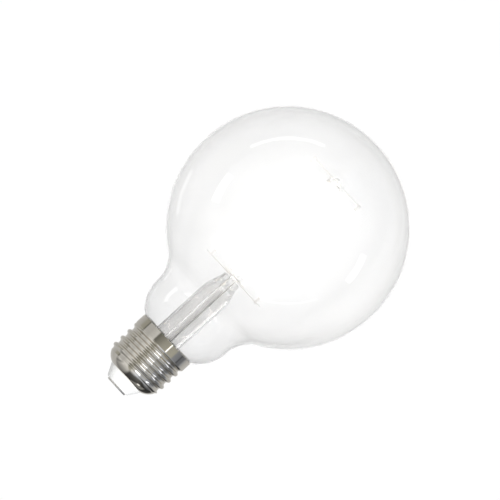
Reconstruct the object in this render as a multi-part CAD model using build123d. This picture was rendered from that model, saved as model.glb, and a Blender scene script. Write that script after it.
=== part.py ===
from build123d import *
from math import cos, pi, sqrt
import os

# A clear globe lamp with four LED filaments and an Edison screw cap, in millimetres.
# The lamp's axis is Z with the cap downwards. The origin is the middle of the centre contact's face.

# Centre contact
contact_diameter = 9.4
contact_height = 0.7
contact_edge_radius = 0.35
shank_diameter = 2.6
shank_stand = 0.8  # above the insulator's inner face

# Insulator
insulator_tip_diameter = 10.9
insulator_base_diameter = 16.4
insulator_cone_height = 4.75
insulator_edge_radius = 0.6
insulator_flange_height = 1.6
insulator_fit = 0.05  # radial room in the shell's floor
flange_clearance = 0.15  # flange edge to the shell's shoulder

# Cap shell, an E27 screw
shell_wall = 0.3
floor_opening_diameter = 15.0
floor_margin = 0.1  # floor beyond the insulator's base
shoulder_height = 3.4
shoulder_radius = 7.0
thread_major_diameter = 26.2
thread_depth = 1.1
thread_pitch = 3.629
thread_length = 12.9
thread_flat_count = 8  # flats that draw one round wave of the thread
thread_root_land = 0.36
thread_sink = 0.02  # skirt of the ridge inside the core
thread_runout = 1.6  # height over which the ridge fades at the shoulder
first_crest_lift = 0.6  # crest above the shoulder on the +X side
collar_proud = 0.05  # collar beyond the thread's crests
collar_height = 5.45
rim_edge = 0.1  # flat left on the rim by its inner taper

# Glass envelope
globe_diameter = 95.0
glass_wall = 0.7
waist_diameter = 39.3
waist_radius = 12.57  # hollow curve between globe and waist
neck_radius = 15.9  # full curve between waist and cap
seat_clearance = 0.05  # neck to the rim's taper
cement_thickness = 0.55

# Glass stem
flare_tube_diameter = 12.4
flare_wall = 0.9
flare_land = 2.2  # flat rim inside the neck's end
flare_gap = 0.2  # rim to the collar's inner step
pinch_height = 10.7
pinch_side_cover = 1.15  # glass beyond the leads across the press
pinch_face_cover = 0.3  # glass beyond the leads towards the pressed faces
pinch_roof = 5.7  # solid glass above the flare tube's hollow
pinch_margin = 0.3  # width of the press beyond the tube where it starts
exhaust_diameter = 3.7
exhaust_wall = 0.7
exhaust_tail = 4.0  # sealed end below the flare
blow_hole_diameter = 1.4
blow_hole_rise = 2.0  # exhaust bore above the end of its tube
pillar_diameter = 2.4
pillar_socket = 3.0
bead_diameter = 4.4

# Wires
wire_diameter = 0.6
wire_bend_radius = 0.8
lead_gap = 0.2  # lead to exhaust tube
lead_turn = -64  # degrees from a lead's arm to its upright
arm_knee = 3.0  # where an arm turns into line, from the axis
arm_overhang = 2.4  # lower wires beyond the filaments
bridge_overhang = 0.8  # upper wires beyond the filaments
bridge_spacing = 1.4  # between the two bridge wires' heights
branch_weld_distance = 2.0  # weld on the lead's arm, beyond its knee
branch_corner = 7.0
branch_bend_radius = 2.0
branch_tail = 0.8

# Filaments
filament_ring_diameter = 26.0
filament_length = 49.5
filament_width = 2.2
filament_depth = 1.8
filament_corner_radius = 0.7
filament_stand = 2.6  # bare tab between filament and support wire
tab_width = 1.0
tab_thickness = 0.25
tab_overhang = 0.7
filament_count = 4
cage_turn = 12.0  # degrees about the axis
cage_drop = 1.3  # middle of the filaments below the middle of the globe

# Driver in the cap
board_lift = 4.4  # above the insulator's flange
board_thickness = 1.0
board_fit = 0.15
board_margin = 1.0  # bare edge of the board
capacitor_diameter = 5.0
capacitor_height = 5.5
capacitor_groove = 0.3
capacitor_groove_height = 1.0
capacitor_bevel = 0.4
rectifier_size = (4.7, 3.9, 2.2)
rectifier_legs = 2
rectifier_leg_pitch = 2.5
chip_size = (4.9, 3.9, 1.4)
chip_legs = 4
chip_leg_pitch = 1.27
leg_width = 0.45
leg_reach = 0.9
leg_thickness = 0.2
leg_shoulder = 0.5  # height at which a leg leaves its package
resistor_diameter = 2.4
resistor_length = 6.4
resistor_drop = 1.6  # resistor's axis below the board
resistor_inset = 5.2  # resistor's axis inside the board's edge
resistor_wire_diameter = 0.6
resistor_leg_room = 1.2  # bare wire beyond the body
resistor_bevel = 0.4
hookup_wire_diameter = 0.9
rectifier_angle = 60
chip_angle = 135
capacitor_angle = 270
resistor_angle = 90
neutral_angle = 225

# Cap heights from the contact face upwards
floor_z = contact_height + insulator_cone_height
shoulder_z = floor_z + shoulder_height
thread_top_z = shoulder_z + thread_length
rim_z = thread_top_z + collar_height

# Cap radii
crest_r = thread_major_diameter / 2
core_r = crest_r - thread_depth
bore_r = core_r - shell_wall
collar_r = crest_r + collar_proud
collar_inner_r = collar_r - shell_wall
floor_r = insulator_base_diameter / 2 + floor_margin
opening_r = floor_opening_diameter / 2
collar_step = collar_r - core_r
step_shift = shell_wall * (sqrt(2) - 1)
ledge_z = thread_top_z + collar_step + step_shift

# Glass envelope: the neck's curve stands in the taper of the collar's rim
globe_r = globe_diameter / 2
waist_r = waist_diameter / 2
neck_centre_r = waist_r - neck_radius
seat_r = collar_r - rim_edge - seat_clearance
neck_r = collar_inner_r - cement_thickness
waist_z = rim_z + sqrt(neck_radius**2 - (seat_r - neck_centre_r) ** 2)
taper_r = collar_inner_r - seat_clearance
taper_z = waist_z - sqrt(neck_radius**2 - (taper_r - neck_centre_r) ** 2)
neck_top_z = waist_z - sqrt(neck_radius**2 - (neck_r - neck_centre_r) ** 2)
globe_z = waist_z + sqrt((globe_r + waist_radius) ** 2 - (waist_r + waist_radius) ** 2)
flare_z = ledge_z + flare_gap
neck_bottom_z = flare_z + flare_wall

# Filament cage, centred in the globe, and the stem that carries it
wire_r = wire_diameter / 2
ring_r = filament_ring_diameter / 2
filament_bottom_z = globe_z - cage_drop - filament_length / 2
filament_top_z = filament_bottom_z + filament_length
arm_z = filament_bottom_z - filament_stand
branch_z = arm_z + wire_diameter
upper_bridge_z = filament_top_z + filament_stand
lower_bridge_z = upper_bridge_z - bridge_spacing
bead_z = (upper_bridge_z + lower_bridge_z) / 2
stem_top_z = arm_z - wire_bend_radius
pinch_z = stem_top_z - pinch_height
hollow_top_z = stem_top_z - pinch_roof
exhaust_r = exhaust_diameter / 2
exhaust_bore_r = exhaust_r - exhaust_wall
lead_r = exhaust_r + lead_gap + wire_r
flare_tube_r = flare_tube_diameter / 2
pinch_half_width = lead_r + wire_r + pinch_side_cover
pinch_half_depth = lead_r + wire_r + pinch_face_cover

# Driver places
flange_z = floor_z + shell_wall
flange_top_z = flange_z + insulator_flange_height
shank_top_z = flange_top_z + shank_stand
board_z = flange_top_z + board_lift
board_top_z = board_z + board_thickness
board_r = bore_r - board_fit
mounting_r = board_r - board_margin


STANDING = (Align.CENTER, Align.CENTER, Align.MIN)


def turned(*outline):
    """Solid of revolution about Z from outline edges drawn as (radius, height)."""
    return revolve(Plane.XZ * make_face([edge for line in outline for edge in line.edges()]), Axis.Z)


def upright(radius, bottom, top):
    """Cylinder on the axis between two heights."""
    return Pos(0, 0, bottom) * Cylinder(radius, top - bottom, align=STANDING)


def wire_along(path, radius):
    """Round wire whose middle follows a path."""
    return sweep(Plane(path @ 0, z_dir=path % 0) * Circle(radius), path=path)


def shoulder_centre():
    """Middle of the shoulder's arc, from the floor's edge to the foot of the thread."""
    across, up = core_r - floor_r, shoulder_height
    chord = sqrt(across**2 + up**2)
    reach = sqrt(shoulder_radius**2 - (chord / 2) ** 2) / chord
    return (floor_r + core_r) / 2 - reach * up, floor_z + shoulder_height / 2 + reach * across


def shoulder_arc(radius, start_z, end_r):
    """Arc about the shoulder's middle from a height up to a radius."""
    middle_r, middle_z = shoulder_centre()
    start = (middle_r + sqrt(radius**2 - (start_z - middle_z) ** 2), start_z)
    end = (end_r, middle_z - sqrt(radius**2 - (end_r - middle_r) ** 2))
    return RadiusArc(start, end, -radius)


def thread_ridge():
    """Right-hand ridge of one rounded wave, swept up the core and faded out at the shoulder."""
    half_depth, half_wave = thread_depth / 2, thread_flat_count // 2
    start_z = shoulder_z + first_crest_lift - thread_pitch
    skirt = thread_pitch / 2 - thread_root_land / 2
    root_r, foot_r = core_r - thread_sink, core_r - shell_wall
    wave = []
    for k in range(1 - half_wave, half_wave):
        height = half_depth * (1 + cos(2 * pi * k / thread_flat_count))
        wave.append((core_r + height, start_z + k * thread_pitch / thread_flat_count))
    section = Polyline(
        (foot_r, start_z - skirt),
        (root_r, start_z - skirt),
        *wave,
        (root_r, start_z + skirt),
        (foot_r, start_z + skirt),
        close=True,
    )
    path = Helix(thread_pitch, ledge_z + thread_pitch - start_z, core_r, center=(0, 0, start_z))
    ridge = sweep(Plane.XZ * make_face(section), path=path, is_frenet=True)
    inner_r, outer_r = foot_r - shell_wall, collar_r + shell_wall
    fade = Polyline(
        (0, shoulder_z),
        (inner_r, shoulder_z),
        (outer_r, shoulder_z + thread_runout),
        (outer_r, ledge_z),
        (0, ledge_z),
        close=True,
    )
    return ridge & turned(fade)


def cap_shell():
    """Drawn sheet-metal shell: floor, rounded shoulder, screw thread and smooth collar."""
    shoulder = shoulder_arc(shoulder_radius, floor_z, core_r)
    outside = turned(
        Line((0, floor_z), shoulder @ 0),
        shoulder,
        Polyline(shoulder @ 1, (core_r, thread_top_z), (collar_r, thread_top_z + collar_step)),
        Polyline((collar_r, thread_top_z + collar_step), (collar_r, rim_z), (0, rim_z), (0, floor_z)),
    )
    inner_shoulder = shoulder_arc(shoulder_radius - shell_wall, flange_z, bore_r)
    hollow = turned(
        Line((0, flange_z), inner_shoulder @ 0),
        inner_shoulder,
        Polyline(inner_shoulder @ 1, (bore_r, thread_top_z + step_shift), (collar_inner_r, ledge_z)),
        Polyline((collar_inner_r, ledge_z), (collar_inner_r, taper_z), (collar_r - rim_edge, rim_z)),
        Polyline((collar_r - rim_edge, rim_z), (0, rim_z), (0, flange_z)),
    )
    return outside + thread_ridge() - hollow - upright(opening_r, floor_z, flange_z), hollow


def cap_insulator():
    """White cone below the shell's floor, held by a flange above it."""
    tip_r, base_r = insulator_tip_diameter / 2, insulator_base_diameter / 2
    flange_r = (shoulder_arc(shoulder_radius - shell_wall, flange_z, bore_r) @ 0).X - flange_clearance
    body = turned(
        Polyline(
            (shank_diameter / 2, contact_height),
            (tip_r, contact_height),
            (base_r, floor_z),
            (opening_r - insulator_fit, floor_z),
            (opening_r - insulator_fit, flange_z),
            (flange_r, flange_z),
            (flange_r, flange_top_z),
            (shank_diameter / 2, flange_top_z),
            close=True,
        )
    )
    tip_edge = body.edges().filter_by(GeomType.CIRCLE).group_by(Axis.Z)[0].sort_by(SortBy.RADIUS)[-1]
    return fillet(tip_edge, insulator_edge_radius), flange_r


def centre_contact():
    """Flat-headed pin through the insulator."""
    head = upright(contact_diameter / 2, 0, contact_height)
    head = fillet(head.edges().group_by(Axis.Z)[0], contact_edge_radius)
    return head + upright(shank_diameter / 2, contact_height, shank_top_z)


def envelope_line(inset):
    """Half outline of the envelope from neck to crown, moved inwards from the outer surface."""
    tangent = globe_r / (globe_r + waist_radius)
    blend_r, blend_z = (waist_r + waist_radius) * tangent, globe_z + (waist_z - globe_z) * tangent
    grow = (globe_r - inset) / globe_r
    blend = (blend_r * grow, globe_z + (blend_z - globe_z) * grow)
    tube_r = neck_r - inset
    neck = (tube_r, waist_z - sqrt((neck_radius - inset) ** 2 - (tube_r - neck_centre_r) ** 2))
    return [
        Line((tube_r, neck_bottom_z), neck),
        RadiusArc(neck, (waist_r - inset, waist_z), -(neck_radius - inset)),
        RadiusArc((waist_r - inset, waist_z), blend, waist_radius + inset),
        CenterArc((0, globe_z), globe_r - inset, 90, -(90 - blend_angle(blend))),
    ]


def glass_envelope():
    """Blown globe, waist and neck of even wall."""
    return turned(
        *envelope_line(0),
        *envelope_line(glass_wall),
        Line((0, globe_z + globe_r), (0, globe_z + globe_r - glass_wall)),
        Line((neck_r, neck_bottom_z), (neck_r - glass_wall, neck_bottom_z)),
    )


def blend_angle(point):
    """Angle at the globe's middle of a point on its outline, in degrees above the level."""
    return (Vector(*point) - Vector(0, globe_z)).get_signed_angle(Vector(1, 0), Vector(0, 0, -1))


def capping_cement():
    """Ring that holds the neck in the collar."""
    return upright(collar_inner_r, neck_bottom_z, neck_top_z) - upright(neck_r, neck_bottom_z, neck_top_z)


def pinch_view(half_bottom, half_top):
    """Outline of the pinch seen from one side, drawn in with an S-curve at each edge."""
    middle = ((half_bottom + half_top) / 2, pinch_z + pinch_height / 2)
    lower = TangentArc((half_bottom, pinch_z), middle, tangent=(0, 1))
    upper = TangentArc(middle, (half_top, stem_top_z), tangent=lower % 1)
    edges = [lower, upper, mirror(lower, Plane.YZ), mirror(upper, Plane.YZ)]
    foot = Line((-half_bottom, pinch_z), (half_bottom, pinch_z))
    return make_face([*edges, foot, Line((-half_top, stem_top_z), (half_top, stem_top_z))])


def pinch_body(inset):
    """Tube end pressed flat from two sides, moved inwards from the outer surface."""
    start = flare_tube_r + pinch_margin - inset
    front = extrude(Plane.XZ * pinch_view(start, pinch_half_width - inset), flare_tube_diameter, both=True)
    side = extrude(Plane.YZ * pinch_view(start, pinch_half_depth - inset), flare_tube_diameter, both=True)
    return upright(flare_tube_r - inset, pinch_z, stem_top_z) & front & side


def stem_flare(leads):
    """Flare tube with a rim sealed to the neck, pressed flat at its top round the leads."""
    splay = neck_r - glass_wall - flare_land - flare_tube_r
    inner_r, shift = flare_tube_r - flare_wall, flare_wall * (sqrt(2) - 1)
    tube = turned(
        Polyline(
            (inner_r, pinch_z),
            (inner_r, neck_bottom_z + splay - shift),
            (flare_tube_r + splay - shift, flare_z),
            (neck_r, flare_z),
            (neck_r, neck_bottom_z),
            (flare_tube_r + splay, neck_bottom_z),
            (flare_tube_r, neck_bottom_z + splay),
            (flare_tube_r, pinch_z),
            close=True,
        )
    )
    pinch = pinch_body(0) - (pinch_body(flare_wall) & upright(flare_tube_r, pinch_z, hollow_top_z))
    bore = upright(exhaust_bore_r, hollow_top_z, hollow_top_z + blow_hole_rise)
    side = Plane((0, 0, hollow_top_z + blow_hole_rise / 2), z_dir=(1, 0, 0))
    blow_hole = extrude(side * Circle(blow_hole_diameter / 2), flare_tube_r)
    socket = upright(pillar_diameter / 2, stem_top_z - pillar_socket, stem_top_z)
    return tube + pinch - [bore, blow_hole, socket, *leads]


def exhaust_tube():
    """Tube inside the flare, open to the blow hole and melted shut at its lower end."""
    dome_z = flare_z - exhaust_tail + exhaust_r
    return turned(
        Line((0, dome_z - exhaust_r), (0, dome_z - exhaust_bore_r)),
        RadiusArc((0, dome_z - exhaust_r), (exhaust_r, dome_z), -exhaust_r),
        RadiusArc((0, dome_z - exhaust_bore_r), (exhaust_bore_r, dome_z), -exhaust_bore_r),
        Polyline((exhaust_r, dome_z), (exhaust_r, hollow_top_z), (exhaust_bore_r, hollow_top_z)),
        Line((exhaust_bore_r, hollow_top_z), (exhaust_bore_r, dome_z)),
    )


def stem_pillar(bridges):
    """Glass rod in the pinch with a bead round the bridge wires."""
    rod = upright(pillar_diameter / 2, stem_top_z - pillar_socket, bead_z)
    return rod + Pos(0, 0, bead_z) * Sphere(bead_diameter / 2) - [*bridges]


def lead_wire():
    """Lead from the board through the pinch, turned outwards under its filament."""
    foot = Vector(lead_r, 0, board_top_z).rotate(Axis.Z, lead_turn)
    corners = [foot, (foot.X, foot.Y, arm_z), (arm_knee, 0, arm_z), (ring_r + arm_overhang, 0, arm_z)]
    return wire_along(FilletPolyline(*corners, radius=wire_bend_radius), wire_r)


def branch_wire():
    """Wire welded across a lead's arm, which feeds the next filament."""
    weld = Vector(arm_knee + branch_weld_distance, 0, branch_z)
    corner = Vector(0, branch_corner, branch_z)
    start = weld + (weld - corner).normalized() * branch_tail
    end = Vector(0, ring_r + arm_overhang, branch_z)
    return wire_along(FilletPolyline(start, corner, end, radius=branch_bend_radius), wire_r)


def bridge_wire(height):
    """Straight wire along X through the bead."""
    reach = ring_r + bridge_overhang
    return Pos(0, 0, height) * Rot(0, 90, 0) * Cylinder(wire_r, 2 * reach)


def filament():
    """Coated LED strip, flat side to its support wires."""
    outline = RectangleRounded(filament_width, filament_depth, filament_corner_radius)
    return extrude(Pos(*filament_place(), filament_bottom_z) * outline, filament_length)


def filament_tab(bottom, top):
    """Metal end tab, welded flat against the side of a wire."""
    return Pos(*filament_place(), bottom) * Box(tab_width, tab_thickness, top - bottom, align=STANDING)


def filament_place():
    """Middle of the first filament: on its ring, beside its wires."""
    return ring_r, wire_r + tab_thickness / 2


def driver_board():
    """Round board that sits in the shell's bore."""
    return upright(board_r, board_z, board_top_z)


def bent_leg(side):
    """Flat leg that leaves a package's side, turns down and stands on the board."""
    outer, thick = side + leg_reach, leg_thickness
    profile = Polyline(
        (side, leg_shoulder),
        (side + thick, leg_shoulder),
        (side + thick, 0),
        (outer, 0),
        (outer, thick),
        (side + 2 * thick, thick),
        (side + 2 * thick, leg_shoulder + thick),
        (side, leg_shoulder + thick),
        close=True,
    )
    return extrude(Plane.YZ * make_face(profile), leg_width / 2, both=True)


def packaged_chip(size, legs, pitch):
    """Moulded package on the board with a row of bent legs on two sides."""
    length, width, height = size
    body = Pos(0, 0, leg_thickness) * Box(length, width, height, align=STANDING)
    leg = bent_leg(width / 2)
    pair = leg + mirror(leg, Plane.XZ)
    for k in range(legs):
        body += Pos((k - (legs - 1) / 2) * pitch, 0, 0) * pair
    return Pos(mounting_r - length / 2, 0, board_top_z) * body


def smoothing_capacitor():
    """Round can with a rolled groove near its foot."""
    radius = capacitor_diameter / 2
    waist = radius - capacitor_groove
    can = turned(
        Polyline(
            (0, 0),
            (radius, 0),
            (radius, capacitor_groove_height - capacitor_groove),
            (waist, capacitor_groove_height),
            (radius, capacitor_groove_height + capacitor_groove),
            (radius, capacitor_height - capacitor_bevel),
            (radius - capacitor_bevel, capacitor_height),
            (0, capacitor_height),
            close=True,
        )
    )
    return Pos(mounting_r - radius, 0, board_top_z) * can


def fuse_resistor():
    """Axial resistor under the board, hung on its bent wire ends."""
    reach = resistor_length / 2 + resistor_leg_room
    level = -resistor_drop
    corners = [(0, -reach, 0), (0, -reach, level), (0, reach, level), (0, reach, 0)]
    wire = wire_along(FilletPolyline(*corners, radius=wire_bend_radius), resistor_wire_diameter / 2)
    body = Rot(90, 0, 0) * Cylinder(resistor_diameter / 2, resistor_length)
    body = chamfer(body.edges().filter_by(GeomType.CIRCLE), resistor_bevel)
    return Pos(board_r - resistor_inset, 0, board_z) * (wire + Pos(0, 0, level) * body)


def neutral_wire(hollow, flange_r):
    """Wire from the board down to the inside of the shell's shoulder."""
    place = (flange_r + bore_r) / 2
    return Pos(place, 0, 0) * upright(hookup_wire_diameter / 2, floor_z, board_z) & hollow


def about_axis(angle, shape):
    """Shape turned about the lamp's axis by an angle in degrees."""
    return Rot(0, 0, angle) * shape


def build():
    """All pieces by name."""
    shell, hollow = cap_shell()
    insulator, flange_r = cap_insulator()
    leads = {"lead_wire_live": lead_wire(), "lead_wire_neutral": about_axis(180, lead_wire())}
    bridges = {
        "upper_bridge_wire": bridge_wire(upper_bridge_z),
        "lower_bridge_wire": about_axis(90, bridge_wire(lower_bridge_z)),
    }
    cage = {
        "stem_flare": stem_flare(leads.values()),
        "stem_pillar": stem_pillar(bridges.values()),
        "branch_wire_live": branch_wire(),
        "branch_wire_neutral": about_axis(180, branch_wire()),
        **leads,
        **bridges,
    }
    lower_tab = filament_tab(arm_z - tab_overhang, filament_bottom_z)
    upper_tab = filament_tab(filament_top_z, upper_bridge_z + tab_overhang)
    for k in range(filament_count):
        turn = k * 360 / filament_count
        cage[f"filament_{k + 1}"] = about_axis(turn, filament())
        cage[f"filament_{k + 1}_lower_tab"] = about_axis(turn, lower_tab)
        cage[f"filament_{k + 1}_upper_tab"] = about_axis(turn, upper_tab)
    rectifier = packaged_chip(rectifier_size, rectifier_legs, rectifier_leg_pitch)
    chip = packaged_chip(chip_size, chip_legs, chip_leg_pitch)
    return {
        "glass_envelope": glass_envelope(),
        "exhaust_tube": exhaust_tube(),
        **{name: about_axis(cage_turn, piece) for name, piece in cage.items()},
        "cap_shell": shell,
        "cap_insulator": insulator,
        "centre_contact": centre_contact(),
        "capping_cement": capping_cement(),
        "driver_board": driver_board(),
        "bridge_rectifier": about_axis(rectifier_angle, rectifier),
        "driver_chip": about_axis(chip_angle, chip),
        "smoothing_capacitor": about_axis(capacitor_angle, smoothing_capacitor()),
        "fuse_resistor": about_axis(resistor_angle, fuse_resistor()),
        "live_wire": upright(hookup_wire_diameter / 2, shank_top_z, board_z),
        "neutral_wire": about_axis(neutral_angle, neutral_wire(hollow, flange_r)),
    }


os.makedirs("parts", exist_ok=True)
for name, piece in build().items():
    export_step(piece, f"parts/{name}.step")
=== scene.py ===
"""Looks of a clear globe lamp with four LED filaments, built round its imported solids.

Metres, in the solids' own frame: the lamp's axis is Z, the cap is down and the photo looks along +Y.
"""

from math import acos, asin, atan2, cos, hypot, pi, radians, sin, sqrt

import bpy
from mathutils import Matrix, Vector


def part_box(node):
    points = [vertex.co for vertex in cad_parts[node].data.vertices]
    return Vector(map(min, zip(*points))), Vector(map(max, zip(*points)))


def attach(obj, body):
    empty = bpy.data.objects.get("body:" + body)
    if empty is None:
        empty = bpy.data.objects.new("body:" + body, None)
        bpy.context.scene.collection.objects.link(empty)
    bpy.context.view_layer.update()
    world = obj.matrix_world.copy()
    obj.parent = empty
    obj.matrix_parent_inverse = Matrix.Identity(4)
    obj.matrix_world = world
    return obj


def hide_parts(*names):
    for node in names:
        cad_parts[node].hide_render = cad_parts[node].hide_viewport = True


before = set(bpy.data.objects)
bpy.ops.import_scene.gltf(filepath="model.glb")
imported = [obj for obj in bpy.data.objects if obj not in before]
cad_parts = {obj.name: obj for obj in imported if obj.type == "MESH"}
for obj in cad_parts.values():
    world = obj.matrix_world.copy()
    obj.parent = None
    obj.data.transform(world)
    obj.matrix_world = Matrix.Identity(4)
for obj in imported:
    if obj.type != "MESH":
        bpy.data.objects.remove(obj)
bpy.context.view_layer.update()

MM = 0.001

# Carried-over solids of the filament cage
FILAMENTS = [f"filament_{k}" for k in range(1, 5)]
TABS = [f"{filament}_{end}_tab" for filament in FILAMENTS for end in ("lower", "upper")]
WIRES = [f"{place}_wire_{side}" for place in ("lead", "branch") for side in ("live", "neutral")]
WIRES += ["upper_bridge_wire", "lower_bridge_wire"]

# Glass envelope
GLASS_WALL = 0.7 * MM
WAIST_R = 19.65 * MM
WAIST_CURVE = 12.57 * MM  # hollow curve between globe and waist
NECK_CURVE = 15.9 * MM  # full curve between waist and cap
NECK_R = 12.3 * MM

# Glass stem
FLARE_WALL = 0.9 * MM
FLARE_TUBE_R = 6.2 * MM
FLARE_LAND = 2.2 * MM  # flat rim inside the neck's end
PINCH_HEIGHT = 10.7 * MM
PINCH_HALF_WIDTH = 3.8 * MM
PINCH_HALF_DEPTH = 2.95 * MM
PINCH_EDGE = 0.35 * MM  # rounding of the top
ROUND, PRESSED = 2.0, 5.0  # squareness of the tube and of the pinch's top
EXHAUST_R = 1.85 * MM
EXHAUST_WALL = 0.7 * MM
EXHAUST_GAP = 0.02 * MM  # below the roof of the stem's hollow
PILLAR_R = 1.2 * MM
PILLAR_GAP = 0.01 * MM  # above the pinch
CAGE_TURN = radians(12)

# Cap
SHELL_WALL = 0.3 * MM
OPENING_R = 7.5 * MM
FLOOR_R = 8.3 * MM
SHOULDER_HEIGHT = 3.4 * MM
SHOULDER_CURVE = 7.0 * MM
THREAD_MAJOR_R = 13.1 * MM
THREAD_DEPTH = 1.1 * MM
THREAD_CORE_R = THREAD_MAJOR_R - THREAD_DEPTH
THREAD_PITCH = 3.629 * MM
THREAD_LENGTH = 12.9 * MM
THREAD_RUNOUT = 1.6 * MM  # height over which the thread fades at the shoulder
FIRST_CREST_LIFT = 0.6 * MM  # crest above the shoulder on the +X side
COLLAR_EDGE = 0.3 * MM  # rounding where the collar steps down to the thread
RIM_EDGE = 0.1 * MM  # flat left on the rim by its inner taper
RIM_TAPER = 0.14 * MM  # height of that taper
RIM_ROUND = 0.06 * MM
INSULATOR_TIP_R = 5.45 * MM
INSULATOR_BASE_R = 8.2 * MM
INSULATOR_EDGE = 0.6 * MM
INSULATOR_FIT = 0.05 * MM  # radial room in the shell's floor
LIP_INSET = 0.1 * MM  # straight lip at the insulator's base
LIP_HEIGHT = 0.12 * MM
SHANK_R = 1.3 * MM
CONTACT_EDGE = 0.35 * MM

# Meshing
AROUND = 192
THREAD_AROUND = 256
COARSE_AROUND = 96  # exhaust tube, contact and floor
ROD_AROUND = 64
THREAD_ROW = 0.09 * MM
PINCH_STEPS = 36
PINCH_EDGE_STEPS = 3
RIM_STEPS = 6
ARC_STEP = radians(2.5)
CREASE = radians(32)
ON_AXIS = 1e-7  # a smaller radius is a point on the axis

# Glass finishes
GLASS_IOR = 1.5
GLASSES = {  # dark and light tint, height of the waves, haze
    "clear_glass": ((0.95, 0.95, 0.95), (0.97, 0.97, 0.97), 0.005 * MM, 0.024),
    "stem_glass": ((0.88, 0.875, 0.87), (0.93, 0.925, 0.92), 0.003 * MM, 0.05),
    "rod_glass": ((0.94, 0.94, 0.935), (0.97, 0.97, 0.965), 0.003 * MM, 0.2),
}

# Metal finishes
METALS = {  # dark and light tint, roughness, share of bare metal
    "support_wire": ((0.88, 0.87, 0.86), (0.95, 0.94, 0.93), (0.45, 0.6), 0.25),
    "filament_tab": ((0.9, 0.89, 0.88), (0.96, 0.95, 0.94), (0.45, 0.65), 0.2),
    "contact_metal": ((0.84, 0.82, 0.79), (0.93, 0.91, 0.88), (0.4, 0.6), 1.0),
    "capacitor_can": ((0.55, 0.56, 0.58), (0.68, 0.69, 0.7), (0.2, 0.4), 1.0),
}
NICKEL_TINTS = (0.67, 0.637, 0.57), (0.74, 0.707, 0.64)
NICKEL_ROUGH = 0.03, 0.12
NICKEL_RELIEF = 0.002 * MM
ROUND_THE_AXIS = 1, 1, 12  # stretch that draws lines round the lamp

# Moulded and cast finishes
MOULDINGS = {  # dark and light tint, roughness, grain in cycles per metre
    "white_insulator": ((0.88, 0.88, 0.87), (0.93, 0.93, 0.92), (0.28, 0.4), 1500),
    "capping_cement": ((0.76, 0.72, 0.64), (0.86, 0.83, 0.76), (0.8, 0.95), 4000),
    "circuit_board": ((0.05, 0.2, 0.1), (0.09, 0.3, 0.16), (0.35, 0.5), 1500),
    "chip_package": ((0.02, 0.02, 0.02), (0.06, 0.06, 0.06), (0.4, 0.6), 1500),
    "resistor_body": ((0.3, 0.42, 0.36), (0.42, 0.55, 0.48), (0.3, 0.5), 1500),
    "hookup_wire": ((0.55, 0.05, 0.04), (0.72, 0.1, 0.08), (0.35, 0.5), 1500),
}
MOULDED_RELIEF = 0.01 * MM
BLOTCH = 6  # size of a moulding's colour blotches, in grains

# Filament coating
COATING_TINTS = (0.95, 0.72, 0.3), (1, 0.85, 0.5)
COATING_ROUGH = 0.45, 0.7
COATING_LIGHT = 150.0
COATING_LIGHT_TINT = (1.0, 0.985, 0.96, 1)

# Noise in the finishes, with its grain in cycles per metre
TINT_STOPS = 0.3, 0.7  # noise values at the dark and the light tint
GLASS_GRAIN, GLASS_WAVES = 40, 60
NICKEL_GRAIN, NICKEL_LINES = 180, 300
METAL_GRAIN, METAL_TARNISH = 900, 2500
COATING_GRAIN, COATING_SURFACE = 3000, 5000
FLOOR_GRAIN = 8

# Camera, nearly square to the lamp's axis and rolled as the photo is
LENS = 600.0
SENSOR = 36.0
PHOTO_SPAN = 194.0 * MM  # width of the photo at the lamp
AIM = Vector((-3.66 * MM, 0, 74.26 * MM))
AXIS_ANGLE = radians(42.7)  # the lamp's axis above the photo's level
TILT = radians(1.2)  # the viewer's place below the middle, level with the cap
NEAREST, FARTHEST = 0.01, 100

# Studio brightness, in stops of place, level and tint
PLAIN, WARM, COOL = (1, 1, 1), (1, 0.99, 0.88), (0.94, 1, 1.14)
BRIGHTEST = 1.2
DEGREE = radians(1)
BACKDROP = [  # by degrees from +Y
    (0, 1.01, PLAIN), (13.5, 1.01, PLAIN), (20, 0.72, PLAIN), (45, 0.68, PLAIN), (90, 0.6, PLAIN),
    (125, 1.01, PLAIN), (180, 1.01, PLAIN),
]
BACK_WALL = [  # by degrees from +Y
    (0, 1.01, PLAIN), (13.5, 1.01, PLAIN), (20, 0.63, PLAIN), (45, 0.56, PLAIN), (90, 0.5, PLAIN),
    (180, 0.5, PLAIN),
]
LEVEL_WALL = [  # by degrees from the viewer to +X
    (-180, 0.6, PLAIN), (-118, 0.52, PLAIN), (-112, 0.42, WARM), (-92, 0.39, WARM), (-90, 0.25, WARM),
    (-86, 0.13, WARM), (-83, 0.57, PLAIN), (-60, 0.55, PLAIN), (-50, 0.64, PLAIN), (-34, 0.72, PLAIN),
    (-29, 0.15, WARM), (-16, 0.24, WARM), (4, 0.38, WARM), (23, 0.44, WARM), (56, 0.46, WARM),
    (62, 0.3, COOL), (81, 0.24, COOL), (84, 0.1, COOL), (88, 0.1, COOL), (91, 0.2, COOL), (98, 0.18, COOL),
    (105, 0.2, COOL), (112, 0.36, COOL), (133, 0.38, COOL), (150, 0.52, PLAIN), (180, 0.6, PLAIN),
]
HIGH_WALL = [  # by degrees from the viewer to +X
    (-180, 0.65, PLAIN), (-110, 0.64, PLAIN), (-60, 0.58, PLAIN), (-50, 0.9, PLAIN), (-30, 0.9, PLAIN),
    (-25, 0.45, WARM), (-12, 0.48, WARM), (-7, 0.8, PLAIN), (30, 0.85, COOL), (35, 0.58, COOL),
    (62, 0.6, COOL), (80, 0.5, COOL), (95, 0.32, COOL), (110, 0.32, COOL), (130, 0.42, COOL),
    (180, 0.65, PLAIN),
]
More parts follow.
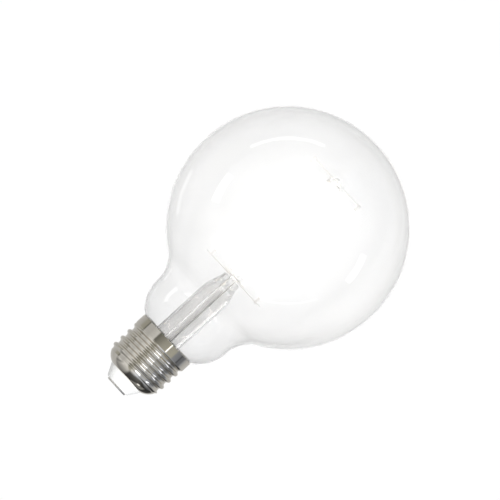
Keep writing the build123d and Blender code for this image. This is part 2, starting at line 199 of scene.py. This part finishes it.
GROUND = [  # by the share of the direction that points to +X
    (-1, 1.1, PLAIN), (-0.7, 1.1, PLAIN), (-0.65, 0.5, PLAIN), (-0.6, 0.8, PLAIN), (-0.53, 1.05, PLAIN),
    (-0.44, 0.92, PLAIN), (-0.18, 0.86, PLAIN), (-0.06, 0.13, PLAIN), (0.1, 0.14, PLAIN), (0.45, 0.19, PLAIN),
    (0.66, 0.1, PLAIN), (0.72, 0.4, COOL), (0.8, 0.55, COOL), (1, 0.6, PLAIN),
]
GROUND_FADE = [  # by degrees from the viewer, round under the lamp
    (60, 1.0, PLAIN), (75, 0.95, PLAIN), (90, 0.65, PLAIN), (120, 0.35, PLAIN), (180, 0.35, PLAIN),
]

# Edges between the parts of the studio
WALL_EDGE = radians(50), radians(80)  # back wall to side walls, from +Y
HIGH_EDGE = 0.2, 0.45  # level wall to high wall, by the share of the direction that points up or down
GROUND_NEAR = radians(50), radians(75)  # start of the ground, from the viewer round under the lamp
GROUND_FAR = radians(150), radians(136)  # its end, which the slant brings nearer on the -X side
GROUND_SLANT = -0.7  # radians that it adds in a direction straight to +X
GROUND_DEPTH = 0.15, 0.4  # by the share of the direction that points down

# Lights that only the cap reflects
CAP_LIGHT_DISTANCE = 0.5
CAP_LIGHTS = {  # degrees from the viewer to +X, degrees up, width, height, radiance, tint
    "cap_strip": (27.5, 0, 0.036, 0.06, 2.0, PLAIN),
    "cap_front_box": (16, 35, 0.2, 0.27, 1.5, COOL),
    "cap_side_box": (79, 35, 0.08, 0.27, 1.8, COOL),
    "cap_low_box": (120, -60, 0.09, 0.06, 1.0, PLAIN),
    "cap_low_screen": (140, -55, 0.22, 0.22, 0.22, PLAIN),
}

# Lights that only the globe reflects
GLOBE_LIGHTS = {  # degrees from the photo's right, degrees from the viewer, distance, width, height, radiance
    "overhead_strip": (90, 87.7, 0.395, 0.36, 0.03, 2.2),
    "low_strip": (-90, 72.4, 0.395, 0.3, 0.015, 1.4),
    "left_box": (149, 75, 0.5, 0.2, 0.08, 2.8),
    "right_box": (-31, 77.6, 0.5, 0.2, 0.07, 2.4),
    "rim_box": (160, 125, 0.4, 0.14, 0.05, 0.6),
}

# Lights inside the globe that reach only its wires and tabs
CAGE_LIGHT_DISTANCE = 0.035
CAGE_LIGHT_DROP = 2.5 * MM  # below the middle of the globe
CAGE_LIGHT_SIZE = 0.04
CAGE_LIGHT_RADIANCE = 2.7

# Strips inside the glass that only one tube of the stem reflects
STEM_STRIPS = {  # place of the highlight towards +X, distance from the tube, width, radiance
    "exhaust_strip": (-1.0 * MM, 2.5 * MM, 2.5 * MM, 22.0),
    "flare_strip": (5.0 * MM, 4.5 * MM, 3.5 * MM, 7.5),
}

# Fill that only matt surfaces show
FILL_ACROSS = 0.15  # to the photo's right, as a share of the way to the viewer
FILL_DROP = 0.3  # to the photo's bottom, likewise
FILL_DISTANCE = 0.7
FILL_SIZE = 0.5
FILL_RADIANCE = 6.0

# Floor
FLOOR_Z = -0.3
FLOOR_RADII = 0.2, 0.6, 1.1  # it fades out between the last two
FLOOR_TINTS = (0.78, 0.78, 0.77), (0.82, 0.82, 0.81)
FLOOR_ROUGH = 0.8

# Picture
GLOW = {"Threshold": 1.5, "Strength": 0.3, "Size": 0.9, "Saturation": 0.3}
GLASS_BOUNCES = 32
GLOSS_BOUNCES = 16
BRIGHTEST_BOUNCE = 5.0


# Outlines and meshes
def radius_of(node):
    """Radius of a round solid."""
    low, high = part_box(node)
    return (high.x - low.x) / 2


def arc(centre, radius, start, end, steps=None):
    """Points of an arc in (radius, height), from one angle to another."""
    steps = steps or max(2, int(abs(end - start) / ARC_STEP))
    turns = [start + (end - start) * k / steps for k in range(steps + 1)]
    return [(centre[0] + radius * cos(a), centre[1] + radius * sin(a)) for a in turns]


def ring(radius, height, around):
    """One level ring of points, or a single point on the axis."""
    if radius < ON_AXIS:
        return [(0.0, 0.0, height)]
    angles = [2 * pi * k / around for k in range(around)]
    return [(radius * cos(a), radius * sin(a), height) for a in angles]


def loft(name, rings, closed):
    """Mesh through a run of rings. Closed joins the last ring to the first; a single point ends a run."""
    points, starts = [], []
    for each in rings:
        starts.append(len(points))
        points.extend(each)
    faces = []
    pairs = list(zip(range(len(rings)), range(1, len(rings))))
    if closed:
        pairs.append((len(rings) - 1, 0))
    for a, b in pairs:
        count_a, count_b = len(rings[a]), len(rings[b])
        for k in range(max(count_a, count_b)):
            here = [starts[a] + k % count_a, starts[a] + (k + 1) % count_a]
            there = [starts[b] + (k + 1) % count_b, starts[b] + k % count_b]
            corners = dict.fromkeys(here + there)
            if len(corners) > 2:
                faces.append(tuple(corners))
    mesh = bpy.data.meshes.new(name)
    mesh.from_pydata(points, [], faces)
    mesh.validate()
    smooth(mesh)
    piece = bpy.data.objects.new(name, mesh)
    bpy.context.scene.collection.objects.link(piece)
    return piece


def smooth(mesh):
    """Smooth shading with creases at sharp edges."""
    mesh.polygons.foreach_set("use_smooth", [True] * len(mesh.polygons))
    mesh.set_sharp_from_angle(angle=CREASE)


def lathe(name, outline, around=AROUND):
    """Body of revolution from an outline of (radius, height), which runs with the solid on its left."""
    closed = outline[0][0] > ON_AXIS
    return loft(name, [ring(r, z, around) for r, z in outline], closed)


def stand_for(piece, material, slot, *nodes):
    """Puts a finished piece on the lamp in place of its solids."""
    piece.data.materials.append(material)
    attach(piece, "root")
    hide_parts(*nodes)
    return piece


# Glass
def envelope_line(inset):
    """Half outline of the envelope from neck to crown, moved inwards from the outer surface."""
    low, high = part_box("glass_envelope")
    globe_r = radius_of("glass_envelope")
    globe_z = high.z - globe_r
    curve_r = WAIST_R + WAIST_CURVE
    waist_z = globe_z - sqrt((globe_r + WAIST_CURVE) ** 2 - curve_r**2)
    blend = atan2(waist_z - globe_z, curve_r)
    neck_centre = (WAIST_R - NECK_CURVE, waist_z)
    neck_arc = NECK_CURVE - inset
    neck_angle = acos((NECK_R - inset - neck_centre[0]) / neck_arc)
    line = [(NECK_R - inset, low.z)]
    line += arc(neck_centre, neck_arc, -neck_angle, 0)
    line += arc((curve_r, waist_z), WAIST_CURVE + inset, pi, pi + blend)[1:]
    line += arc((0, globe_z), globe_r - inset, blend, pi / 2)[1:-1]
    return line + [(0.0, globe_z + globe_r - inset)]


def build_envelope(material):
    """Blown globe, waist and neck, a closed wall of even thickness."""
    outer, inner = envelope_line(0), envelope_line(GLASS_WALL)
    rings = [ring(r, z, AROUND) for r, z in inner[::-1] + outer]
    piece = loft("glass_globe", rings, False)
    return stand_for(piece, material, "clear_glass", "glass_envelope")


def pinch_ring(height, half_width, half_depth, squareness):
    """Ring of a pressed tube: round at a squareness of 2, nearly a rectangle at 5."""
    points = []
    for k in range(AROUND):
        a = 2 * pi * k / AROUND
        across, deep = abs(cos(a) / half_width), abs(sin(a) / half_depth)
        reach = (across**squareness + deep**squareness) ** (-1 / squareness)
        points.append((reach * cos(a + CAGE_TURN), reach * sin(a + CAGE_TURN), height))
    return points


def ease(share):
    """Smooth step from 0 to 1."""
    share = min(1.0, max(0.0, share))
    return share * share * (3 - 2 * share)


def pinch_rings(bottom, top, inset, end):
    """Rings of the pinch from the round tube up to a height, moved inwards from the outer surface."""
    rings = []
    for k in range(PINCH_STEPS + 1):
        height = bottom + (end - bottom) * k / PINCH_STEPS
        share = ease((height - bottom) / (top - bottom))
        width = FLARE_TUBE_R + (PINCH_HALF_WIDTH - FLARE_TUBE_R) * share - inset
        depth = FLARE_TUBE_R + (PINCH_HALF_DEPTH - FLARE_TUBE_R) * share - inset
        rings.append(pinch_ring(height, width, depth, ROUND + (PRESSED - ROUND) * share))
    return rings


def build_stem(material):
    """Flare tube, pressed flat at its top, as one hollow body of fused glass."""
    low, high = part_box("stem_flare")
    hollow_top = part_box("exhaust_tube")[1].z
    bottom = high.z - PINCH_HEIGHT
    land_z = low.z + FLARE_WALL
    splay = NECK_R - GLASS_WALL - FLARE_LAND - FLARE_TUBE_R
    shift = FLARE_WALL * (sqrt(2) - 1)
    hollow = [[(0.0, 0.0, hollow_top)]] + pinch_rings(bottom, high.z, FLARE_WALL, hollow_top)[::-1]
    flare = [(FLARE_TUBE_R - FLARE_WALL, land_z + splay - shift), (FLARE_TUBE_R + splay - shift, low.z)]
    flare += [(NECK_R, low.z), (NECK_R, land_z), (FLARE_TUBE_R + splay, land_z)]
    flare += [(FLARE_TUBE_R, land_z + splay)]
    rings = hollow + [ring(r, z, AROUND) for r, z in flare]
    rings += pinch_rings(bottom, high.z, 0, high.z)[:-1]
    for grow, rise in arc((-PINCH_EDGE, -PINCH_EDGE), PINCH_EDGE, 0, pi / 2, PINCH_EDGE_STEPS):
        width, depth = PINCH_HALF_WIDTH + grow, PINCH_HALF_DEPTH + grow
        rings.append(pinch_ring(high.z + rise, width, depth, PRESSED))
    rings.append([(0.0, 0.0, high.z)])
    piece = loft("glass_stem", rings, False)
    return stand_for(piece, material, "stem_glass", "stem_flare")


def build_exhaust(material):
    """Exhaust tube inside the stem, melted shut at its lower end."""
    low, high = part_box("exhaust_tube")
    outer = radius_of("exhaust_tube")
    inner = outer - EXHAUST_WALL
    dome_z = low.z + outer
    top = high.z - EXHAUST_GAP
    outside = [(0.0, low.z)] + arc((0, dome_z), outer, -pi / 2, 0)[1:] + [(outer, top)]
    inside = [(inner, top)] + arc((0, dome_z), inner, 0, -pi / 2)[:-1] + [(0.0, dome_z - inner)]
    piece = lathe("glass_exhaust_tube", outside + inside, COARSE_AROUND)
    return stand_for(piece, material, "stem_glass", "exhaust_tube")


def build_pillar(material):
    """Rod on the pinch with a melted bead, which lets light through to the bridge wires in it."""
    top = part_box("stem_pillar")[1].z
    bead_r = radius_of("stem_pillar")
    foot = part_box("stem_flare")[1].z + PILLAR_GAP
    bead = arc((0, top - bead_r), bead_r, -acos(PILLAR_R / bead_r), pi / 2)[:-1]
    piece = lathe("glass_pillar", [(0.0, foot), (PILLAR_R, foot)] + bead + [(0.0, top)], ROD_AROUND)
    piece.visible_shadow = False
    return stand_for(piece, material, "stem_glass", "stem_pillar")


# Cap
def shoulder_arc(radius, start_z, end_r):
    """Points of the shoulder's arc, from a height up to a radius."""
    floor_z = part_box("cap_shell")[0].z
    across, up = THREAD_CORE_R - FLOOR_R, SHOULDER_HEIGHT
    chord = hypot(across, up)
    reach = sqrt(SHOULDER_CURVE**2 - (chord / 2) ** 2) / chord
    centre = ((FLOOR_R + THREAD_CORE_R) / 2 - reach * up, floor_z + up / 2 + reach * across)
    return arc(centre, radius, asin((start_z - centre[1]) / radius), -acos((end_r - centre[0]) / radius))


def thread_height(turns):
    """Height of the thread above its root, by turns from a crest: equal arcs at crest and root."""
    quarter = THREAD_PITCH / 4
    curve = (quarter**2 + THREAD_DEPTH**2 / 4) / THREAD_DEPTH
    from_crest = abs(turns - round(turns)) * THREAD_PITCH
    if from_crest < quarter:
        return THREAD_DEPTH - curve + sqrt(curve**2 - from_crest**2)
    return curve - sqrt(curve**2 - (2 * quarter - from_crest) ** 2)


def rounded_min(a, b):
    """The smaller of two radii, rounded where they meet."""
    near = max(COLLAR_EDGE - abs(a - b), 0)
    return min(a, b) - near**2 / (4 * COLLAR_EDGE)


def thread_ring(height, shoulder_z, step_z, collar_r):
    """Ring through the right-hand thread, which fades at the shoulder and meets the collar's step."""
    fade = ease((height - shoulder_z) / THREAD_RUNOUT)
    step_r = rounded_min(collar_r, THREAD_CORE_R + height - step_z)
    points = []
    for k in range(THREAD_AROUND):
        a = 2 * pi * k / THREAD_AROUND
        turns = (height - shoulder_z - FIRST_CREST_LIFT) / THREAD_PITCH - a / (2 * pi)
        r = max(THREAD_CORE_R + fade * thread_height(turns), step_r)
        points.append((r * cos(a), r * sin(a), height))
    return points


def build_shell(material):
    """Drawn shell with floor, rounded shoulder, rolled thread and smooth collar."""
    low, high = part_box("cap_shell")
    collar_r = radius_of("cap_shell")
    bore_r, collar_inner_r = THREAD_CORE_R - SHELL_WALL, collar_r - SHELL_WALL
    shoulder_z = low.z + SHOULDER_HEIGHT
    step_z = shoulder_z + THREAD_LENGTH
    collar_z = step_z + collar_r - THREAD_CORE_R
    shift = SHELL_WALL * (sqrt(2) - 1)
    flange_z = low.z + SHELL_WALL
    shoulder = shoulder_arc(SHOULDER_CURVE, low.z, THREAD_CORE_R)[:-1]
    rings = [ring(r, z, THREAD_AROUND) for r, z in [(OPENING_R, low.z)] + shoulder]
    thread_end = collar_z + COLLAR_EDGE
    rows = int((thread_end - shoulder_z) / THREAD_ROW)
    for k in range(rows + 1):
        height = shoulder_z + (thread_end - shoulder_z) * k / rows
        rings.append(thread_ring(height, shoulder_z, step_z, collar_r))
    collar = [(collar_r, high.z - 2 * RIM_ROUND)]
    collar += arc((collar_r - RIM_ROUND, high.z - RIM_ROUND), RIM_ROUND, 0, pi / 2, RIM_STEPS)
    inside = [(collar_r - RIM_EDGE, high.z), (collar_inner_r, high.z - RIM_TAPER)]
    inside += [(collar_inner_r, collar_z + shift), (bore_r, step_z + shift)]
    inside += shoulder_arc(SHOULDER_CURVE - SHELL_WALL, flange_z, bore_r)[::-1] + [(OPENING_R, flange_z)]
    rings += [ring(r, z, THREAD_AROUND) for r, z in collar + inside]
    piece = loft("cap_screw_shell", rings, True)
    return stand_for(piece, material, "nickel_plate", "cap_shell")


def build_insulator(material):
    """Moulded cone with a rounded tip, and the flange that holds it in the shell."""
    low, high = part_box("cap_insulator")
    floor_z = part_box("cap_shell")[0].z
    flange_z = floor_z + SHELL_WALL
    flange_r = radius_of("cap_insulator")
    neck_r = OPENING_R - INSULATOR_FIT
    lip_r = INSULATOR_BASE_R - LIP_INSET
    slope = atan2(floor_z - low.z, INSULATOR_BASE_R - INSULATOR_TIP_R)
    back = INSULATOR_EDGE * (1 - cos(slope)) / sin(slope)
    tip = arc((INSULATOR_TIP_R - back, low.z + INSULATOR_EDGE), INSULATOR_EDGE, -pi / 2, slope - pi / 2)
    outline = [(SHANK_R, low.z)] + tip + [(lip_r, floor_z - LIP_HEIGHT), (lip_r, floor_z)]
    outline += [(neck_r, floor_z), (neck_r, flange_z), (flange_r, flange_z), (flange_r, high.z)]
    piece = lathe("cap_insulator_cone", outline + [(SHANK_R, high.z)])
    return stand_for(piece, material, "white_insulator", "cap_insulator")


def build_contact(material):
    """Flat-headed contact with a rounded edge and its shank."""
    low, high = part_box("centre_contact")
    head_r = radius_of("centre_contact")
    head_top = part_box("cap_insulator")[0].z
    edge = arc((head_r - CONTACT_EDGE, low.z + CONTACT_EDGE), CONTACT_EDGE, -pi / 2, 0)
    shank = [(SHANK_R, head_top), (SHANK_R, high.z), (0.0, high.z)]
    outline = [(0.0, low.z)] + edge + [(head_r, head_top)] + shank
    piece = lathe("centre_contact_pin", outline, COARSE_AROUND)
    return stand_for(piece, material, "contact_metal", "centre_contact")


# Materials
def principled(name, **sockets):
    """Material with one Principled shader, its plain values set on the sockets."""
    material = bpy.data.materials.new(name)
    material.use_nodes = True
    shader = material.node_tree.nodes["Principled BSDF"]
    for socket, value in sockets.items():
        shader.inputs[socket.replace("_", " ")].default_value = value
    return material, material.node_tree, shader


def noise(tree, scale, detail=3.0, stretch=None):
    """Noise in the object's own coordinates, in cycles per metre, stretched if asked."""
    place = tree.nodes.new("ShaderNodeTexCoord")
    texture = tree.nodes.new("ShaderNodeTexNoise")
    texture.inputs["Scale"].default_value = scale
    texture.inputs["Detail"].default_value = detail
    source = place.outputs["Object"]
    if stretch:
        mapping = tree.nodes.new("ShaderNodeMapping")
        mapping.inputs["Scale"].default_value = stretch
        tree.links.new(source, mapping.inputs["Vector"])
        source = mapping.outputs["Vector"]
    tree.links.new(source, texture.inputs["Vector"])
    return texture.outputs["Fac"]


def tint(tree, shader, source, dark, light):
    """Colour that runs from dark to light along a source."""
    node = tree.nodes.new("ShaderNodeValToRGB")
    for element, position, colour in zip(node.color_ramp.elements, TINT_STOPS, (dark, light)):
        element.position = position
        element.color = (*colour, 1)
    tree.links.new(source, node.inputs["Fac"])
    tree.links.new(node.outputs["Color"], shader.inputs["Base Color"])


def roughen(tree, shader, source, low, high):
    """Roughness that runs from one value to another along a source of 0 to 1."""
    node = tree.nodes.new("ShaderNodeMapRange")
    node.inputs["To Min"].default_value = low
    node.inputs["To Max"].default_value = high
    tree.links.new(source, node.inputs["Value"])
    tree.links.new(node.outputs["Result"], shader.inputs["Roughness"])


def bump(tree, shader, source, height):
    """Fine relief of a height in metres."""
    node = tree.nodes.new("ShaderNodeBump")
    node.inputs["Strength"].default_value = 1.0
    node.inputs["Distance"].default_value = height
    tree.links.new(source, node.inputs["Height"])
    tree.links.new(node.outputs["Normal"], shader.inputs["Normal"])


def clear_glass(name):
    """Clear glass with a trace of haze and the faint waviness of blown or drawn work."""
    dark, light, wave_height, haze = GLASSES[name]
    material, tree, shader = principled(name, Transmission_Weight=1 - haze, IOR=GLASS_IOR, Roughness=0.0)
    tint(tree, shader, noise(tree, GLASS_GRAIN), dark, light)
    bump(tree, shader, noise(tree, GLASS_WAVES, detail=1.0), wave_height)
    return material


def nickel_plate():
    """Polished nickel plate on drawn metal, with fine drawing lines round the axis."""
    material, tree, shader = principled("nickel_plate", Metallic=1.0)
    tint(tree, shader, noise(tree, NICKEL_GRAIN), *NICKEL_TINTS)
    lines = noise(tree, NICKEL_LINES, detail=4.0, stretch=ROUND_THE_AXIS)
    roughen(tree, shader, lines, *NICKEL_ROUGH)
    bump(tree, shader, lines, NICKEL_RELIEF)
    return material


def metal(name):
    """Plain bright metal with uneven tarnish, bare or under a thin dull film."""
    dark, light, rough, bare = METALS[name]
    material, tree, shader = principled(name, Metallic=bare)
    tint(tree, shader, noise(tree, METAL_GRAIN), dark, light)
    roughen(tree, shader, noise(tree, METAL_TARNISH), *rough)
    return material


def moulded(name):
    """Moulded or cast surface with a fine grain."""
    dark, light, rough, grain = MOULDINGS[name]
    material, tree, shader = principled(name)
    tint(tree, shader, noise(tree, grain / BLOTCH), dark, light)
    fine = noise(tree, grain)
    roughen(tree, shader, fine, *rough)
    bump(tree, shader, fine, MOULDED_RELIEF)
    return material


def filament_coating():
    """Silicone filled with phosphor, lit."""
    material, tree, shader = principled("filament_coating", Emission_Strength=COATING_LIGHT)
    shader.inputs["Emission Color"].default_value = COATING_LIGHT_TINT
    tint(tree, shader, noise(tree, COATING_GRAIN), *COATING_TINTS)
    roughen(tree, shader, noise(tree, COATING_SURFACE), *COATING_ROUGH)
    return material


def dress(material, *nodes):
    """Gives carried-over solids a finished material and smooth shading."""
    for name in nodes:
        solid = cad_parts[name]
        solid.data.materials.clear()
        solid.data.materials.append(material)
        smooth(solid.data)


def dress_inner_pieces():
    """Finishes for wires, filaments and the driver."""
    dress(metal("support_wire"), *WIRES)
    dress(filament_coating(), *FILAMENTS)
    dress(metal("filament_tab"), *TABS)
    dress(moulded("capping_cement"), "capping_cement")
    dress(moulded("circuit_board"), "driver_board")
    dress(moulded("chip_package"), "bridge_rectifier", "driver_chip")
    dress(metal("capacitor_can"), "smoothing_capacitor")
    dress(moulded("resistor_body"), "fuse_resistor")
    dress(moulded("hookup_wire"), "live_wire", "neutral_wire")


# Camera
def photo_axes():
    """The photo's right, up and towards-the-viewer directions in the lamp's frame."""
    right = Vector((sin(AXIS_ANGLE), 0, cos(AXIS_ANGLE)))
    up = Vector((-cos(AXIS_ANGLE), 0, sin(AXIS_ANGLE)))
    return right, up, right.cross(up)


def place_camera():
    """Camera at the photo's angle and framing."""
    right, up, back = [Matrix.Rotation(TILT, 3, "X") @ axis for axis in photo_axes()]
    data = bpy.data.cameras.new("camera")
    data.lens = LENS
    data.sensor_width = SENSOR
    data.clip_start = NEAREST
    data.clip_end = FARTHEST
    camera = bpy.data.objects.new("camera", data)
    camera.matrix_world = Matrix((right, up, back)).transposed().to_4x4()
    camera.location = AIM + back * (PHOTO_SPAN * LENS / SENSOR)
    bpy.context.scene.collection.objects.link(camera)
    bpy.context.scene.camera = camera


# Studio
def compute(tree, operation, *inputs):
    """Result of one sum over node outputs and plain numbers."""
    node = tree.nodes.new("ShaderNodeMath")
    node.operation = operation
    for socket, value in zip(node.inputs, inputs):
        if isinstance(value, (int, float)):
            socket.default_value = value
        else:
            tree.links.new(value, socket)
    return node.outputs["Value"]


def share_of(tree, source, low, high, kind="SMOOTHSTEP"):
    """Share from 0 to 1 between two values of a source."""
    node = tree.nodes.new("ShaderNodeMapRange")
    node.interpolation_type = kind
    node.inputs["From Min"].default_value = low
    node.inputs["From Max"].default_value = high
    tree.links.new(source, node.inputs["Value"])
    return node.outputs["Result"]


def shade(tree, source, stops, unit=1.0):
    """Brightness and tint of the studio along a source, from stops of (place, level, tint)."""
    first, last = stops[0][0], stops[-1][0]
    node = tree.nodes.new("ShaderNodeValToRGB")
    while len(node.color_ramp.elements) < len(stops):
        node.color_ramp.elements.new(1.0)
    for element, (place, level, colour) in zip(node.color_ramp.elements, stops):
        element.position = (place - first) / (last - first)
        element.color = (*[level * c / BRIGHTEST for c in colour], 1)
    tree.links.new(share_of(tree, source, first * unit, last * unit, "LINEAR"), node.inputs["Fac"])
    return node.outputs["Color"]


def blend_colours(tree, share, low, high):
    """Colour between two others."""
    node = tree.nodes.new("ShaderNodeMix")
    node.data_type = "RGBA"
    for name, source in (("Factor_Float", share), ("A_Color", low), ("B_Color", high)):
        socket = next(s for s in node.inputs if s.identifier == name)
        tree.links.new(source, socket)
    return next(s for s in node.outputs if s.identifier == "Result_Color")


def studio_walls(tree, x, y, z, off_back):
    """Walls that reflections show, with their dark flags."""
    around = compute(tree, "ARCTAN2", x, compute(tree, "MULTIPLY", y, -1.0))
    level, high = [shade(tree, around, stops, DEGREE) for stops in (LEVEL_WALL, HIGH_WALL)]
    sides = blend_colours(tree, share_of(tree, compute(tree, "ABSOLUTE", z), *HIGH_EDGE), level, high)
    back = shade(tree, off_back, BACK_WALL, DEGREE)
    return blend_colours(tree, share_of(tree, off_back, *WALL_EDGE), back, sides)


def studio_ground(tree, x, y, z):
    """Ground that reflections show: its share in a direction, and its colour."""
    down = compute(tree, "MULTIPLY", z, -1.0)
    under = compute(tree, "ARCTAN2", down, compute(tree, "MULTIPLY", y, -1.0))
    slanted = compute(tree, "MULTIPLY_ADD", x, GROUND_SLANT, under)
    share = share_of(tree, under, *GROUND_NEAR)
    share = compute(tree, "MULTIPLY", share, share_of(tree, slanted, *GROUND_FAR))
    share = compute(tree, "MULTIPLY", share, share_of(tree, down, *GROUND_DEPTH))
    ground = tree.nodes.new("ShaderNodeVectorMath")
    ground.operation = "MULTIPLY"
    tree.links.new(shade(tree, x, GROUND), ground.inputs[0])
    tree.links.new(shade(tree, under, GROUND_FADE, DEGREE), ground.inputs[1])
    return share, ground.outputs["Vector"]


def light_world():
    """Soft studio with a lit backdrop along +Y; reflections also show its walls, dark flags and ground."""
    world = bpy.data.worlds.new("studio")
    bpy.context.scene.world = world
    world.use_nodes = True
    tree = world.node_tree
    place = tree.nodes.new("ShaderNodeTexCoord")
    axes = tree.nodes.new("ShaderNodeSeparateXYZ")
    rays = tree.nodes.new("ShaderNodeLightPath")
    tree.links.new(place.outputs["Generated"], axes.inputs["Vector"])
    x, y, z = axes.outputs
    off_back = compute(tree, "ARCCOSINE", y)
    to_ground, ground = studio_ground(tree, x, y, z)
    reflected = blend_colours(tree, to_ground, studio_walls(tree, x, y, z, off_back), ground)
    plain = shade(tree, off_back, BACKDROP, DEGREE)
    background = tree.nodes["Background"]
    background.inputs["Strength"].default_value = BRIGHTEST
    studio = blend_colours(tree, rays.outputs["Is Reflection Ray"], plain, reflected)
    tree.links.new(studio, background.inputs["Color"])


def lay_floor():
    """Plain pale floor far below the held lamp, which fades into the studio."""
    rings = [[(0.0, 0.0, FLOOR_Z)]] + [ring(r, FLOOR_Z, COARSE_AROUND) for r in FLOOR_RADII]
    floor = loft("floor", rings, False)
    material, tree, shader = principled("floor", Roughness=FLOOR_ROUGH)
    tint(tree, shader, noise(tree, FLOOR_GRAIN), *FLOOR_TINTS)
    place = tree.nodes.new("ShaderNodeTexCoord")
    length = tree.nodes.new("ShaderNodeVectorMath")
    length.operation = "LENGTH"
    tree.links.new(place.outputs["Object"], length.inputs[0])
    solid_r, end_r = FLOOR_RADII[-2:]
    fade = share_of(tree, length.outputs["Value"], end_r, solid_r, "LINEAR")
    tree.links.new(fade, shader.inputs["Alpha"])
    floor.data.materials.append(material)
    floor.visible_glossy = False


# Lights
def area_light(name, target, towards, distance, size, radiance, spin_to, colour=PLAIN):
    """Soft box at a direction from a target, facing it, with its width along a direction."""
    towards = towards.normalized()
    data = bpy.data.lights.new(name, "AREA")
    data.shape = "RECTANGLE"
    data.size, data.size_y = size
    data.energy = radiance * pi * size[0] * size[1]
    data.color = colour
    light = bpy.data.objects.new(name, data)
    side = (spin_to - towards * spin_to.dot(towards)).normalized()
    light.matrix_world = Matrix((side, towards.cross(side), towards)).transposed().to_4x4()
    light.location = target + towards * distance
    light.visible_camera = False
    bpy.context.scene.collection.objects.link(light)
    return light


def light_only(lights, name, pieces):
    """Lets lights reach some pieces alone, and gives back the collection of those pieces."""
    receivers = bpy.data.collections.new(name)
    for piece in pieces:
        receivers.objects.link(piece)
    for light in lights:
        light.light_linking.receiver_collection = receivers
    return receivers


def keep_out(lights, name, pieces):
    """Keeps lights off some pieces."""
    for entry in light_only(lights, name, pieces).collection_objects:
        entry.light_linking.link_state = "EXCLUDE"


def light_globe(globe, middle):
    """Boxes and strips that the globe's outer surface reflects."""
    right, up, back = photo_axes()
    lights = []
    for name, (turn, off, distance, width, height, radiance) in GLOBE_LIGHTS.items():
        turn, off = radians(turn), radians(off)
        outwards = right * cos(turn) + up * sin(turn)
        round_globe = up * cos(turn) - right * sin(turn)
        towards = outwards * sin(off) + back * cos(off)
        light = area_light(name, middle, towards, distance, (width, height), radiance, round_globe)
        light.visible_transmission = False
        lights.append(light)
    light_only(lights, "globe_lights", [globe])


def light_cap(shell):
    """Boxes that the cap's plating reflects."""
    low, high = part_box("cap_shell")
    cap = Vector((0, 0, (low.z + high.z) / 2))
    lights = []
    for name, (around, lift, width, height, radiance, colour) in CAP_LIGHTS.items():
        around, lift = radians(around), radians(lift)
        towards = Vector((cos(lift) * sin(around), -cos(lift) * cos(around), sin(lift)))
        level = Vector((cos(around), sin(around), 0))
        size = (width, height)
        lights.append(area_light(name, cap, towards, CAP_LIGHT_DISTANCE, size, radiance, level, colour))
    light_only(lights, "cap_lights", [shell])


def light_cage(middle):
    """Soft even light on the wires in place of the filaments' own, which would burn them out."""
    right, _, back = photo_axes()
    target = middle - Vector((0, 0, CAGE_LIGHT_DROP))
    size = (CAGE_LIGHT_SIZE, CAGE_LIGHT_SIZE)
    lights = []
    for name, side in (("cage_front", back), ("cage_back", -back)):
        light = area_light(name, target, side, CAGE_LIGHT_DISTANCE, size, CAGE_LIGHT_RADIANCE, right)
        light.visible_glossy = light.visible_transmission = False
        lights.append(light)
    cage = [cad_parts[name] for name in WIRES + TABS]
    light_only(lights, "cage_lights", cage)
    keep_out([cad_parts[name] for name in FILAMENTS], "filament_light", cage)


def light_stem(exhaust, stem):
    """Upright strips beside the stem's tubes, each seen as one line along its tube."""
    foot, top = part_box("cap_shell")[1].z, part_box("exhaust_tube")[1].z
    tubes = (exhaust, EXHAUST_R), (stem, FLARE_TUBE_R)
    for (name, (across, distance, width, radiance)), (tube, radius) in zip(STEM_STRIPS.items(), tubes):
        turn = asin(across / radius)
        shine = Vector((sin(2 * turn), -cos(2 * turn), 0))
        spot = Vector((across, -radius * cos(turn), (foot + top) / 2))
        strip = area_light(name, spot, shine, distance, (top - foot, width), radiance, Vector((0, 0, 1)))
        strip.visible_transmission = False
        light_only([strip], name, [tube])


def add_fill(middle):
    """Soft fill that only matt surfaces show."""
    right, up, back = photo_axes()
    towards = back + FILL_ACROSS * right - FILL_DROP * up
    fill = area_light("fill", middle, towards, FILL_DISTANCE, (FILL_SIZE, FILL_SIZE), FILL_RADIANCE, right)
    fill.visible_glossy = fill.visible_transmission = False


# Picture
def add_glow():
    """Glow that a camera sees round the lit filaments."""
    scene = bpy.context.scene
    scene.use_nodes = True
    tree = scene.node_tree
    tree.nodes.clear()
    layers = tree.nodes.new("CompositorNodeRLayers")
    glare = tree.nodes.new("CompositorNodeGlare")
    glare.glare_type = "FOG_GLOW"
    glare.quality = "HIGH"
    for socket, value in GLOW.items():
        glare.inputs[socket].default_value = value
    composite = tree.nodes.new("CompositorNodeComposite")
    tree.links.new(layers.outputs["Image"], glare.inputs["Image"])
    tree.links.new(glare.outputs["Image"], composite.inputs["Image"])


def set_render():
    """Plain view transform and enough bounces for nested glass."""
    scene = bpy.context.scene
    scene.view_settings.view_transform = "Standard"
    scene.cycles.max_bounces = GLASS_BOUNCES
    scene.cycles.transmission_bounces = GLASS_BOUNCES
    scene.cycles.glossy_bounces = GLOSS_BOUNCES
    scene.cycles.transparent_max_bounces = GLOSS_BOUNCES
    scene.cycles.use_denoising = True
    scene.cycles.sample_clamp_indirect = BRIGHTEST_BOUNCE


place_camera()
light_world()
lay_floor()
add_glow()
set_render()

globe = build_envelope(clear_glass("clear_glass"))
stem_glass = clear_glass("stem_glass")
exhaust, stem = build_exhaust(stem_glass), build_stem(stem_glass)
build_pillar(clear_glass("rod_glass"))
shell = build_shell(nickel_plate())
build_insulator(moulded("white_insulator"))
build_contact(metal("contact_metal"))
dress_inner_pieces()

globe_middle = Vector((0, 0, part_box("glass_envelope")[1].z - radius_of("glass_envelope")))
light_globe(globe, globe_middle)
light_cap(shell)
light_cage(globe_middle)
light_stem(exhaust, stem)
add_fill(globe_middle)
